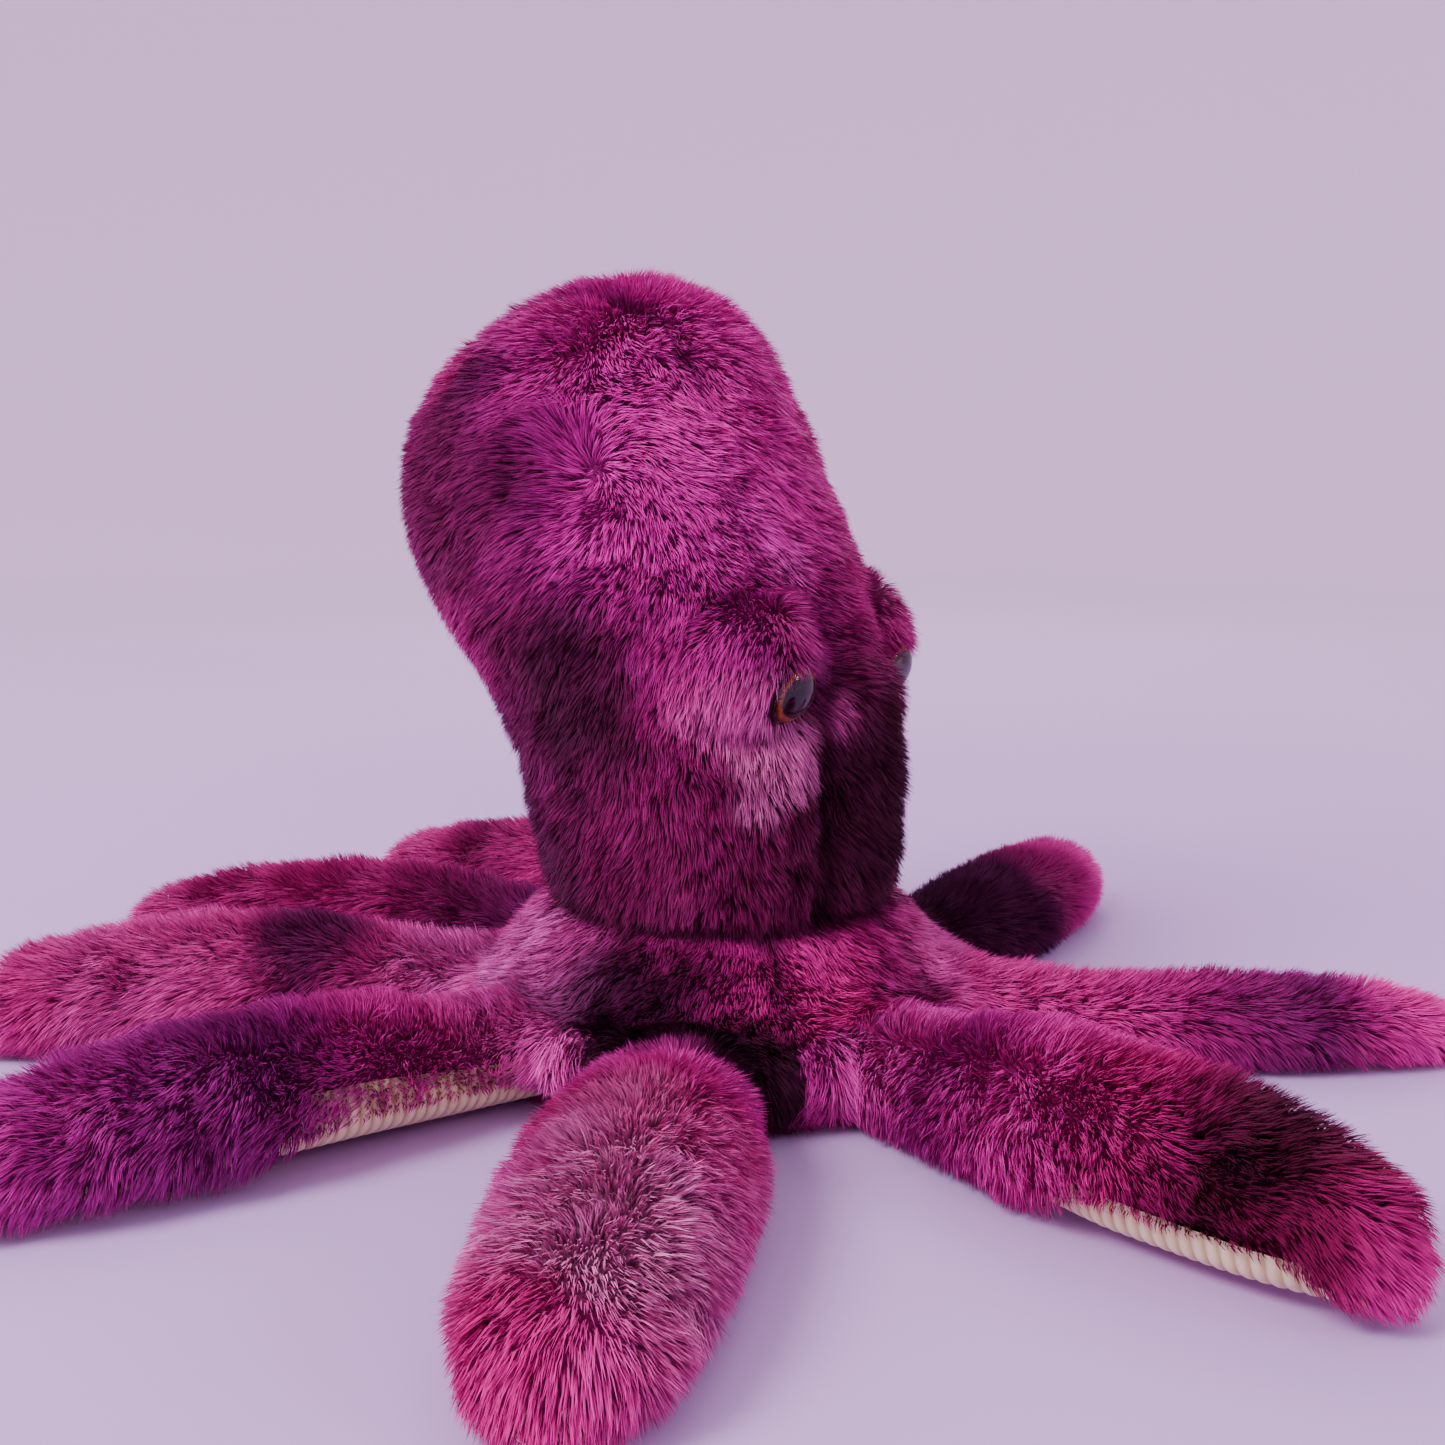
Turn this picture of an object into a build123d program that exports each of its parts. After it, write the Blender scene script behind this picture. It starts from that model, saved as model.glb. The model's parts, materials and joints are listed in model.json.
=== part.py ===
from build123d import *
import os
from math import asin, cos, radians, sin, sqrt, tan

# Stuffed plush octopus: a tall leaning head on a round base, with eight arms.
# Millimetres, +Z up. The origin is the centre of the base's underside, on the
# table. The face looks along -Y. Outer faces are the outer face of the pile.

# Cloth
PILE_CLOTH = 13.0  # faux fur, backing and pile together
CORD_CLOTH = 3.0  # ribbed cotton of the undersides
PANEL_GAP = 0.4  # between neighbouring skirt panels
BODY_GAP = 0.4  # between solids on different bodies

# Base
RIM_CENTRE = 88.0  # radius of the centre of the base's rounded rim
RIM_HEIGHT = 44.0
SIDE_SEAM = 15.0  # height of the seam between fur and ribbed cotton
NECK_RADIUS = 75.0
NECK_HEIGHT = 67.0
NECK_PIVOT = 5.0  # height of the axis that the head leans about

# Head: height, shift towards the back, radius
HEAD_FOOT = 58.0
HEAD_SECTIONS = [
    (103.0, 2.0, 79.0),
    (150.0, 11.0, 84.0),
    (195.0, 34.0, 92.0),
    (230.0, 48.0, 91.0),
    (265.0, 53.0, 79.0),
    (290.0, 49.0, 60.0),
    (306.0, 44.0, 36.0),
    (312.0, 42.0, 14.0),
]
GUSSET_WIDTH = 62.0  # centre strip from the front of the neck over the crown

# Eye mounds and safety eyes
MOUND_CENTRE = (43.0, -34.0, 165.0)
MOUND_RADIUS = 33.0
EYE_TURN_OUT = 4.0
EYE_TURN_DOWN = 21.0
EYE_RADIUS = 12.0
LENS_HEIGHT = 6.5
DISC_THICKNESS = 0.6
PLATE_THICKNESS = 1.4
STEM_RADIUS = 3.0
STEM_LENGTH = 13.0
WASHER_RADIUS = 9.0
WASHER_THICKNESS = 2.0
WASHER_DEPTH = 6.0  # from the back of the eye to the outer face of the washer
CLOTH_UNDER_EYE = 1.5
EYE_CLEARANCE = 0.3

# Arms, counted from the face towards +X: root angle, tip angle, tip radius,
# and height as a share of the full section
ARMS = [
    (292.5, 297.0, 302.0, 0.68),
    (340.0, 351.0, 300.0, 0.86),
    (35.0, 71.0, 282.0, 1.0),
    (75.0, 99.0, 306.0, 0.92),
    (115.0, 122.0, 306.0, 1.0),
    (157.5, 155.0, 304.0, 1.0),
    (202.5, 201.5, 298.0, 1.06),
    (247.5, 250.0, 302.0, 1.0),
]
# Section along an arm: share of its length, width, height
ARM_SECTIONS = [
    (0.00, 56.0, RIM_HEIGHT),
    (0.18, 58.0, RIM_HEIGHT),
    (0.45, 67.0, 49.0),
    (0.72, 63.0, 44.0),
    (0.90, 50.0, 36.0),
    (1.00, 30.0, 25.0),
]
ARM_STEPS = 16  # sections along an arm, enough to follow its bend
ARM_BEND = 0.45  # where the bend lies, as a share of the arm's length
ROOT_LIFT = 40.0
ROOT_DROOP = 45.0
TIP_CURL = 45.0
KNUCKLE_SPARE = 1.5  # how much a knuckle's radius exceeds half the arm's height
LIP_SPARE = 3.0  # kept free at the end of each motion, in degrees
LEAST_STEP = 0.02  # between two sections, as a share of the arm's length
LEAST_CORE = 2.0  # the stuffing's least half width, at the very tip
OVERCUT = 1.0  # how far a hollow is cut past the plane it opens on
KEEP_OUT = 60.0  # reach of the cutting profiles past an arm's section

# Worked out from the sizes above
RIM_RADIUS = RIM_HEIGHT / 2
CORE_RADIUS = (RIM_HEIGHT - PILE_CLOTH - CORD_CLOTH) / 2
DOME_RADIUS = sqrt(NECK_RADIUS**2 + (NECK_HEIGHT - NECK_PIVOT) ** 2)
HEAD_WIDEST = max(radius for _, _, radius in HEAD_SECTIONS)
EYE_SEAT = MOUND_RADIUS - PILE_CLOTH + CLOTH_UNDER_EYE
STEM_FOOT = EYE_SEAT - STEM_LENGTH
WASHER_SEAT = EYE_SEAT - WASHER_DEPTH


def base_profile(rim_radius, bottom, neck):
    """Half section of the base: flat foot, round rim, shoulder and dome."""
    rim_height = bottom + rim_radius
    shoulder = NECK_PIVOT + sqrt(DOME_RADIUS**2 - neck**2)
    crown = NECK_PIVOT + DOME_RADIUS
    half_way = asin(neck / DOME_RADIUS) / 2
    dome_middle = (DOME_RADIUS * sin(half_way), NECK_PIVOT + DOME_RADIUS * cos(half_way))
    with BuildSketch() as profile:
        with BuildLine():
            Polyline((0, crown), (0, bottom), (RIM_CENTRE, bottom))
            CenterArc((RIM_CENTRE, rim_height), rim_radius, -90, 180)
            Line((RIM_CENTRE, rim_height + rim_radius), (neck, shoulder))
            ThreePointArc((neck, shoulder), dome_middle, (0, crown))
        make_face()
    return profile.sketch


def head_form(inset):
    """The head's form through its round sections, drawn in by the inset."""
    crown = HEAD_SECTIONS[-1][0]
    with BuildPart() as form:
        with BuildSketch(Plane((0, 0, HEAD_FOOT))):
            Circle(NECK_RADIUS - inset)
        for height, shift, radius in HEAD_SECTIONS:
            with BuildSketch(Plane((0, shift, height * (1 - inset / crown)))):
                Circle(radius * (1 - inset / HEAD_WIDEST))
        loft()
        with Locations((0, 0, NECK_PIVOT)):
            Sphere(DOME_RADIUS + BODY_GAP, mode=Mode.SUBTRACT)
    return form.part


def mound_balls(radius):
    x, y, z = MOUND_CENTRE
    with BuildPart() as balls:
        with Locations((-x, y, z), (x, y, z)):
            Sphere(radius)
    return balls.part


def eye_plane(side, depth):
    """A plane across the axis of one eye, its depth along the axis."""
    out = radians(EYE_TURN_OUT)
    down = radians(EYE_TURN_DOWN)
    axis = Vector(side * sin(out) * cos(down), -cos(out) * cos(down), -sin(down))
    centre = Vector(side * MOUND_CENTRE[0], MOUND_CENTRE[1], MOUND_CENTRE[2])
    return Plane(origin=centre + axis * depth, x_dir=(1, side * tan(out), 0), z_dir=axis)


def eye_pair(radius, depth, thickness):
    """The same disc on both eyes."""
    with BuildPart() as pair:
        for side in (-1, 1):
            with BuildSketch(eye_plane(side, depth)):
                Circle(radius)
        extrude(amount=thickness)
    return pair.part


class Arm:
    """The plan of one arm: an arc that leaves the rim squarely."""

    def __init__(self, number, root_angle, tip_angle, tip_radius, height_share):
        self.name = f"arm_{number}"
        self.height_share = height_share
        self.root_angle = root_angle
        self.start = Vector(RIM_CENTRE, 0, 0).rotate(Axis.Z, root_angle)
        chord = Vector(tip_radius, 0, 0).rotate(Axis.Z, tip_angle) - self.start
        ahead = Vector(1, 0, 0).rotate(Axis.Z, root_angle)
        self.turn = 2 * ahead.get_signed_angle(chord, Vector(0, 0, 1))
        half_turn = radians(self.turn / 2)
        self.length = chord.length * half_turn / sin(half_turn)

    def place(self, share, height=0.0):
        """The plane across the arm, at a share of its length."""
        turned = self.turn * share
        half_turned = radians(turned / 2)
        chord_share = sin(half_turned) / half_turned if share > 0 else 1.0
        step = Vector(self.length * share * chord_share, 0, height)
        origin = self.start + step.rotate(Axis.Z, self.root_angle + turned / 2)
        ahead = Vector(1, 0, 0).rotate(Axis.Z, self.root_angle + turned)
        across = Vector(0, 1, 0).rotate(Axis.Z, self.root_angle + turned)
        return Plane(origin=origin, x_dir=across, z_dir=ahead)

    def side_on(self, share, height):
        """The upright plane along the arm, its x axis pointing outwards."""
        across = self.place(share, height)
        return Plane(origin=across.origin, x_dir=across.z_dir, z_dir=across.z_dir.cross(Vector(0, 0, 1)))

    def section(self, share):
        """Width and height of the arm at a share of its length."""
        for low, high in zip(ARM_SECTIONS, ARM_SECTIONS[1:]):
            if share <= high[0]:
                break
        part = (share - low[0]) / (high[0] - low[0])
        width = low[1] + part * (high[1] - low[1])
        height = low[2] + part * (high[2] - low[2])
        # every arm starts at the rim's height
        slimmed = min(share / ARM_BEND, 1.0)
        return width, height * (1 + (self.height_share - 1) * slimmed)

    def bend_height(self):
        return self.section(ARM_BEND)[1] / 2

    def knuckle_radius(self):
        return self.bend_height() + KNUCKLE_SPARE

    def root_end(self):
        """The share of the length that the knuckle of the root reaches."""
        return ARM_BEND + (self.knuckle_radius() + BODY_GAP) / self.length


def half_oval(width, rise, upper, overcut):
    """Half an oval on the side seam's level, carried past it by the overcut."""
    start = 0 if upper else 180
    past = SIDE_SEAM - overcut if upper else SIDE_SEAM + overcut
    with BuildLine() as outline:
        arc = EllipticalCenterArc((0, SIDE_SEAM), width / 2, rise, start, arc_size=180)
        if overcut:
            Polyline(arc @ 0, ((arc @ 0).X, past), ((arc @ 1).X, past), arc @ 1)
        else:
            Line(arc @ 0, arc @ 1)
    return outline.line


def half_form(arm, first, last, upper, inset, overcut=0):
    """The arm's form above or below its side seams, drawn in by the inset."""
    shares = [step / ARM_STEPS for step in range(ARM_STEPS)]
    between = [share for share in shares if first + LEAST_STEP < share < last - LEAST_STEP]
    with BuildPart() as form:
        for share in [first] + between + [last]:
            width, height = arm.section(share)
            rise = height - SIDE_SEAM if upper else SIDE_SEAM
            core_width = max(width - 2 * inset, 2 * LEAST_CORE)
            core_rise = max(rise - inset, LEAST_CORE)
            with BuildSketch(arm.place(share)):
                make_face(half_oval(core_width, core_rise, upper, overcut).edges())
        loft(ruled=True)
    return form.part


def socket_tool(arm, share, pivot_height, radius, lift, droop):
    """What an arm's inner end leaves free around its knuckle, to move in."""
    upper_lip = radians(90 - LIP_SPARE - lift)
    lower_lip = radians(90 - LIP_SPARE - droop)
    reach = 2 * KEEP_OUT
    corners = [(0, 0), (reach, reach * tan(upper_lip)), (reach, -reach * tan(lower_lip))]
    with BuildPart() as tool:
        with BuildSketch(arm.side_on(share, pivot_height)):
            Rectangle(reach, reach)
            with BuildLine():
                Polyline(*corners, close=True)
            make_face(mode=Mode.SUBTRACT)
            Circle(radius + BODY_GAP)
        extrude(amount=KEEP_OUT, both=True)
    return tool.part


def knuckle_tool(arm):
    """What rounds off the outer end of an arm's root about the bend's axis."""
    with BuildPart() as tool:
        with BuildSketch(arm.side_on(ARM_BEND, arm.bend_height())):
            Rectangle(KEEP_OUT, 2 * KEEP_OUT, align=(Align.MIN, Align.CENTER))
            Circle(arm.knuckle_radius(), mode=Mode.SUBTRACT)
        extrude(amount=KEEP_OUT, both=True)
    return tool.part


def save(piece, name):
    piece.part.label = name
    export_step(piece.part, f"parts/{name}.step")


def make_base():
    outer = base_profile(RIM_RADIUS, 0, NECK_RADIUS)
    core = base_profile(CORE_RADIUS, CORD_CLOTH, NECK_RADIUS - PILE_CLOTH)
    base_width = 2 * (RIM_CENTRE + RIM_RADIUS)

    with BuildPart() as skirt_panels:
        with BuildSketch(Plane.XZ):
            add(outer)
            add(core, mode=Mode.SUBTRACT)
            with Locations((0, SIDE_SEAM)):
                Rectangle(base_width, base_width, align=(Align.CENTER, Align.MIN), mode=Mode.INTERSECT)
        revolve(axis=Axis.Z)
        with BuildSketch():
            for row, following in zip(ARMS, ARMS[1:] + ARMS[:1]):
                half_step = (following[0] - row[0]) % 360 / 2
                with Locations(Location((0, 0, 0), (0, 0, row[0] + half_step))):
                    Rectangle(base_width, PANEL_GAP, align=(Align.MIN, Align.CENTER))
        extrude(amount=base_width, mode=Mode.SUBTRACT)
    save(skirt_panels, "skirt_panels")

    with BuildPart() as belly_panel:
        with BuildSketch(Plane.XZ):
            add(outer)
            add(core, mode=Mode.SUBTRACT)
            Rectangle(base_width, 2 * SIDE_SEAM, mode=Mode.INTERSECT)
        revolve(axis=Axis.Z)
    save(belly_panel, "belly_panel")

    with BuildPart() as body_stuffing:
        with BuildSketch(Plane.XZ):
            add(core)
        revolve(axis=Axis.Z)
    save(body_stuffing, "body_stuffing")


def make_head():
    outer = head_form(0)
    core = head_form(PILE_CLOTH)
    mounds = mound_balls(MOUND_RADIUS)
    crown = HEAD_SECTIONS[-1][0]
    room = 4 * HEAD_WIDEST

    for side, name in ((-1, "head_left_panel"), (1, "head_right_panel")):
        edge = Align.MIN if side > 0 else Align.MAX
        with BuildPart() as side_panel:
            add(outer)
            add(core, mode=Mode.SUBTRACT)
            add(mounds, mode=Mode.SUBTRACT)
            with Locations((side * GUSSET_WIDTH / 2, 0, 0)):
                Box(room, room, crown, align=(edge, Align.CENTER, Align.MIN), mode=Mode.INTERSECT)
        save(side_panel, name)

    with BuildPart() as head_gusset:
        add(outer)
        add(core, mode=Mode.SUBTRACT)
        add(mounds, mode=Mode.SUBTRACT)
        centred = (Align.CENTER, Align.CENTER, Align.MIN)
        Box(GUSSET_WIDTH, room, crown, align=centred, mode=Mode.INTERSECT)
    save(head_gusset, "head_gusset")

    with BuildPart() as head_stuffing:
        add(core)
        add(mound_balls(MOUND_RADIUS - PILE_CLOTH))
        add(eye_pair(STEM_RADIUS, STEM_FOOT, STEM_LENGTH), mode=Mode.SUBTRACT)
        add(eye_pair(WASHER_RADIUS, WASHER_SEAT, WASHER_THICKNESS), mode=Mode.SUBTRACT)
    save(head_stuffing, "head_stuffing")


def make_eyes():
    head_core = head_form(PILE_CLOTH)
    stems = eye_pair(STEM_RADIUS, STEM_FOOT, STEM_LENGTH)

    with BuildPart() as eye_mounds:
        add(mound_balls(MOUND_RADIUS))
        add(mound_balls(MOUND_RADIUS - PILE_CLOTH), mode=Mode.SUBTRACT)
        add(head_core, mode=Mode.SUBTRACT)
        add(eye_pair(EYE_RADIUS + EYE_CLEARANCE, EYE_SEAT, MOUND_RADIUS), mode=Mode.SUBTRACT)
        add(stems, mode=Mode.SUBTRACT)
    save(eye_mounds, "eye_mounds")

    with BuildPart() as eye_stems:
        add(eye_pair(EYE_RADIUS, EYE_SEAT, PLATE_THICKNESS))
        add(stems)
    save(eye_stems, "eye_stems")

    with BuildPart() as eye_washers:
        add(eye_pair(WASHER_RADIUS, WASHER_SEAT, WASHER_THICKNESS))
        add(stems, mode=Mode.SUBTRACT)
    save(eye_washers, "eye_washers")

    disc_seat = EYE_SEAT + PLATE_THICKNESS
    with BuildPart() as eye_discs:
        add(eye_pair(EYE_RADIUS, disc_seat, DISC_THICKNESS))
    save(eye_discs, "eye_discs")

    lens_seat = disc_seat + DISC_THICKNESS
    dome_radius = (EYE_RADIUS**2 + LENS_HEIGHT**2) / (2 * LENS_HEIGHT)
    with BuildPart() as eye_lenses:
        for side in (-1, 1):
            across = eye_plane(side, lens_seat)
            upright = Plane(origin=across.origin, x_dir=across.x_dir, z_dir=-across.y_dir)
            with BuildSketch(upright):
                with BuildLine():
                    Polyline((EYE_RADIUS, 0), (0, 0), (0, LENS_HEIGHT))
                    RadiusArc((0, LENS_HEIGHT), (EYE_RADIUS, 0), dome_radius)
                make_face()
            revolve(axis=Axis(across.origin, across.z_dir))
    save(eye_lenses, "eye_lenses")


def make_arm(arm):
    root_tools = [
        socket_tool(arm, 0, RIM_RADIUS, RIM_RADIUS, ROOT_LIFT, ROOT_DROOP),
        knuckle_tool(arm),
    ]
    bend = (ARM_BEND, arm.bend_height(), arm.knuckle_radius())
    tip_tools = [socket_tool(arm, *bend, TIP_CURL, TIP_CURL)]

    segments = [("root", 0, arm.root_end(), root_tools), ("tip", ARM_BEND, 1, tip_tools)]
    for segment, first, last, tools in segments:
        with BuildPart() as cover:
            add(half_form(arm, first, last, True, 0))
            add(half_form(arm, first, last, True, PILE_CLOTH, OVERCUT), mode=Mode.SUBTRACT)
            for tool in tools:
                add(tool, mode=Mode.SUBTRACT)
        save(cover, f"{arm.name}_{segment}_cover")

        with BuildPart() as underside:
            add(half_form(arm, first, last, False, 0))
            add(half_form(arm, first, last, False, CORD_CLOTH, OVERCUT), mode=Mode.SUBTRACT)
            for tool in tools:
                add(tool, mode=Mode.SUBTRACT)
        save(underside, f"{arm.name}_{segment}_underside")

        with BuildPart() as stuffing:
            add(half_form(arm, first, last, True, PILE_CLOTH))
            add(half_form(arm, first, last, False, CORD_CLOTH))
            for tool in tools:
                add(tool, mode=Mode.SUBTRACT)
        save(stuffing, f"{arm.name}_{segment}_stuffing")


os.makedirs("parts", exist_ok=True)
make_base()
make_head()
make_eyes()
for number, row in enumerate(ARMS, start=1):
    make_arm(Arm(number, *row))
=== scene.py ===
import json
import math

import bmesh
import bpy
import numpy as np
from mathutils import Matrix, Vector


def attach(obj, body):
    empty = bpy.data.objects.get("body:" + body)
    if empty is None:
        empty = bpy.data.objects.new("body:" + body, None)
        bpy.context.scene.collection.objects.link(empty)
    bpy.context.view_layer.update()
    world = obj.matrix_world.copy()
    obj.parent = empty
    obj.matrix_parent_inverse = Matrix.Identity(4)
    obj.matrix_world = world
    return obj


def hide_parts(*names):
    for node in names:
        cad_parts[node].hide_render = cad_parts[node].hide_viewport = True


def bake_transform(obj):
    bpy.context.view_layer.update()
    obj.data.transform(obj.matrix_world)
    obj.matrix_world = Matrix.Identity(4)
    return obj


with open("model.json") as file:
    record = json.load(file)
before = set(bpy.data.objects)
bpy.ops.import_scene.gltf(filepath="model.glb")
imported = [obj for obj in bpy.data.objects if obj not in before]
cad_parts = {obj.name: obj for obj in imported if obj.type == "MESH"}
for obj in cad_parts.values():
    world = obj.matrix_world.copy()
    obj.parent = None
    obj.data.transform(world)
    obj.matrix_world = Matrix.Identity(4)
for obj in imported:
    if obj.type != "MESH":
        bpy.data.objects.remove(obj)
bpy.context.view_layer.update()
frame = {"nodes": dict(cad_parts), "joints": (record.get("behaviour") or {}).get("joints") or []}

MM = 0.001
rng = np.random.default_rng(8)
UP = np.array([0.0, 0.0, 1.0])

# Pile and cloth
PILE = 10.5 * MM  # length of the fur
PILE_STAND = 8.5 * MM  # how far the laid fur stands off its backing
HAIR_WIDTH = 0.48 * MM  # a lock of fibres, coarser than one fibre so that it shows
HAIRS_PER_MM2 = 1.35
VOXEL = 5 * MM
RIB_PITCH = 4.3 * MM  # wide-wale corduroy
RIB_DEPTH = 0.8 * MM
CORD_OFFSET = 0.8 * MM  # the ribbed cloth lies this far over the filling

# Arms: share of the length, width and height with the pile
ARM_FORM = [
    (-0.30, 50, 40),
    (0.00, 60, 46),
    (0.12, 58, 44),
    (0.24, 62, 47),
    (0.38, 69, 52),
    (0.52, 72, 53),
    (0.68, 70, 51),
    (0.82, 65, 47),
    (0.91, 57, 42),
    (0.97, 44, 34),
    (0.99, 32, 26),
    (1.00, 16, 16),
]
BEND_SHARE = 0.45  # the curl's hinge
SPLIT_SHARE = 0.30  # where an arm's root piece meets its outer piece
SIDE_SEAM = 15 * MM
SEAM_SHARE = 0.45  # towards a thin tip, the seam's height as a share of the arm's
ROLL_RISE = 0.55  # how far a rolled arm rides up, as a share of its drop to the side
LEAST_HALF = 3 * MM
ARM_SHADE = {1: 0.70, 2: 0.90, 3: 1.0, 4: 0.94, 5: 1.04, 6: 1.02, 7: 1.1, 8: 1.02}  # share of the height
# Arms lying a little on one side, so that the ribbed cloth shows:
# degrees, first and last share, height of the fur's edge over the seam
ARM_ROLL = {8: (24, 0.48, 0.97, 7 * MM), 6: (7, 0.02, 0.55, -2 * MM)}
FUR_FOOT = 3.5 * MM  # the skirt's fur reaches down to this height
FUR_EDGE = -8 * MM  # and an arm's fur to this far under its side seams

# Head: height, shift to the back, radius, all with the pile
HEAD_FORM = [
    (52, 0, 75),
    (67, 0, 75),
    (85, 0, 77),
    (103, 2, 79),
    (150, 11, 84),
    (195, 34, 92),
    (230, 48, 91),
    (268, 53, 80),
    (295, 48, 62),
    (311, 43, 40),
    (318, 41, 15),
]
NECK_HEIGHT = 67 * MM
RIM_CENTRE = 88 * MM
RIM_RADIUS = 22 * MM
MOUND_RADIUS = 33 * MM
STRIP_WIDTH = 62 * MM  # the centre strip of the head

# Seams: how deep each one pulls in
NECK_SEAM = 7 * MM
STRIP_SEAM = 5.5 * MM
BACK_SEAM = 4 * MM
SKIRT_SEAM = 5 * MM
MOUND_SEAM = 3 * MM
MOST_PUFF = 3.5 * MM  # how far the filling may move the cover

# Camera, a little above the eyes and looking down: degrees, and millimetres of lens
CAMERA_PLACE = (-571.6 * MM, -330 * MM, 240 * MM)
CAMERA_HEADING = 30.0
CAMERA_DOWN = 9.0
CAMERA_LENS = 40.8

SCATTER = np.array([73856093, 19349663, 83492791])  # large primes that scatter cells of space


# Shapes

def spline(table, column, at):
    """Catmull-Rom through one column of a table, in the table's own order."""
    xs = np.array([row[0] for row in table], float)
    ys = np.array([row[column] for row in table], float)
    slopes = np.gradient(ys, xs)
    at = np.clip(at, xs[0], xs[-1])
    i = np.clip(np.searchsorted(xs, at) - 1, 0, len(xs) - 2)
    step = xs[i + 1] - xs[i]
    t = (at - xs[i]) / step
    h00 = 2 * t**3 - 3 * t**2 + 1
    h10 = t**3 - 2 * t**2 + t
    h01 = -2 * t**3 + 3 * t**2
    h11 = t**3 - t**2
    return h00 * ys[i] + h10 * step * slopes[i] + h01 * ys[i + 1] + h11 * step * slopes[i + 1]


def smoothstep(low, high, x):
    t = np.clip((x - low) / (high - low), 0, 1)
    return t * t * (3 - 2 * t)


def fade(distance, reach):
    """1 at no distance, falling off over the reach on either side."""
    return np.exp(-((distance / reach) ** 2))


def unit(v):
    return v / np.maximum(np.linalg.norm(v, axis=-1, keepdims=True), 1e-12)


def full_turn(columns):
    return np.linspace(0, 2 * math.pi, columns, endpoint=False)


def joint(name):
    return next(j for j in frame["joints"] if j["name"] == name)


class Arm:
    """One arm's line over the table, from its two hinges."""

    def __init__(self, number):
        self.number = number
        lift = joint(f"arm_{number}_lift")
        curl = joint(f"arm_{number}_curl")
        self.start = np.array(lift["pos_m"][:2])
        self.bend = np.array(curl["pos_m"])
        self.heading = math.atan2(lift["axis"][0], -lift["axis"][1])
        bend_heading = math.atan2(curl["axis"][0], -curl["axis"][1])
        turned = (bend_heading - self.heading + math.pi) % (2 * math.pi) - math.pi
        chord = np.linalg.norm(self.bend[:2] - self.start)
        self.turn = turned / BEND_SHARE
        self.length = chord * (turned / 2) / math.sin(turned / 2) / BEND_SHARE
        self.share_line = np.linspace(-0.3, 1.0, 131)
        self.line = self.place(self.share_line)[0]

    def place(self, share):
        """Points of the line and the directions along and across it."""
        share = np.asarray(share, float)
        turned = self.turn * np.maximum(share, 0)
        half = np.where(np.abs(turned) < 1e-9, 1e-9, turned) / 2
        reach = self.length * share * np.where(share > 0, np.sin(half) / half, 1.0)
        direction = self.heading + turned / 2
        step = np.stack([np.cos(direction), np.sin(direction)], -1) * reach[..., None]
        ahead_angle = self.heading + turned
        zero = np.zeros_like(ahead_angle)
        ahead = np.stack([np.cos(ahead_angle), np.sin(ahead_angle), zero], -1)
        across = np.stack([-np.sin(ahead_angle), np.cos(ahead_angle), zero], -1)
        return self.start + step, ahead, across

    def sizes(self, share):
        """Half width and height at the outer face of the pile."""
        scale = 1 + (ARM_SHADE[self.number] - 1) * smoothstep(0.0, 0.4, share)
        narrow = 1 + 0.55 * (scale - 1) + (0.09 if self.number == 7 else 0)
        return spline(ARM_FORM, 1, share) * MM / 2 * narrow, spline(ARM_FORM, 2, share) * MM * scale

    def shows(self, share):
        """1 where the ribbed cloth shows at the side and 0 where fur hangs over it."""
        _, first, last, _ = ARM_ROLL.get(self.number, (0, 2, 3, 0))
        return smoothstep(first - 0.1, first + 0.14, share) * smoothstep(last + 0.04, last - 0.14, share)

    def roll(self, share):
        return math.radians(ARM_ROLL.get(self.number, (0, 0, 0, 0))[0]) * smoothstep(0.0, 0.4, share)

    def surface(self, share, angle, stand, belly):
        """Points round the arm. The angle is 0 and pi at the side seams and turns over the top."""
        centre, _, across = self.place(share)
        half_width, height = self.sizes(share)
        half_width = np.maximum(half_width - stand, LEAST_HALF)
        seam = np.minimum(SIDE_SEAM, height * SEAM_SHARE)
        upper = np.sin(angle) > 0
        rise = np.where(upper, np.maximum(height - seam - stand, LEAST_HALF), seam - belly)
        roll = self.roll(share)
        side = half_width * np.cos(angle)
        lift = rise * np.sin(angle)
        turned_side = side * np.cos(roll) - lift * np.sin(roll)
        turned_lift = side * np.sin(roll) + lift * np.cos(roll)
        lowest = half_width * np.abs(np.sin(roll)) * ROLL_RISE
        up = seam + lowest + turned_lift
        flat = np.concatenate([centre, np.zeros(centre.shape[:-1] + (1,))], -1)
        points = flat + across * turned_side[..., None]
        points[..., 2] = np.maximum(up, belly)
        return points


def grid_faces(rows, columns, closed=False):
    """Quads over a grid of rows by columns."""
    around = columns if closed else columns - 1
    i, j = np.meshgrid(np.arange(rows - 1), np.arange(around), indexing="ij")
    k = (j + 1) % columns
    quads = np.stack([i * columns + j, i * columns + k, (i + 1) * columns + k, (i + 1) * columns + j], -1)
    return quads.reshape(-1, 4)


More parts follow.
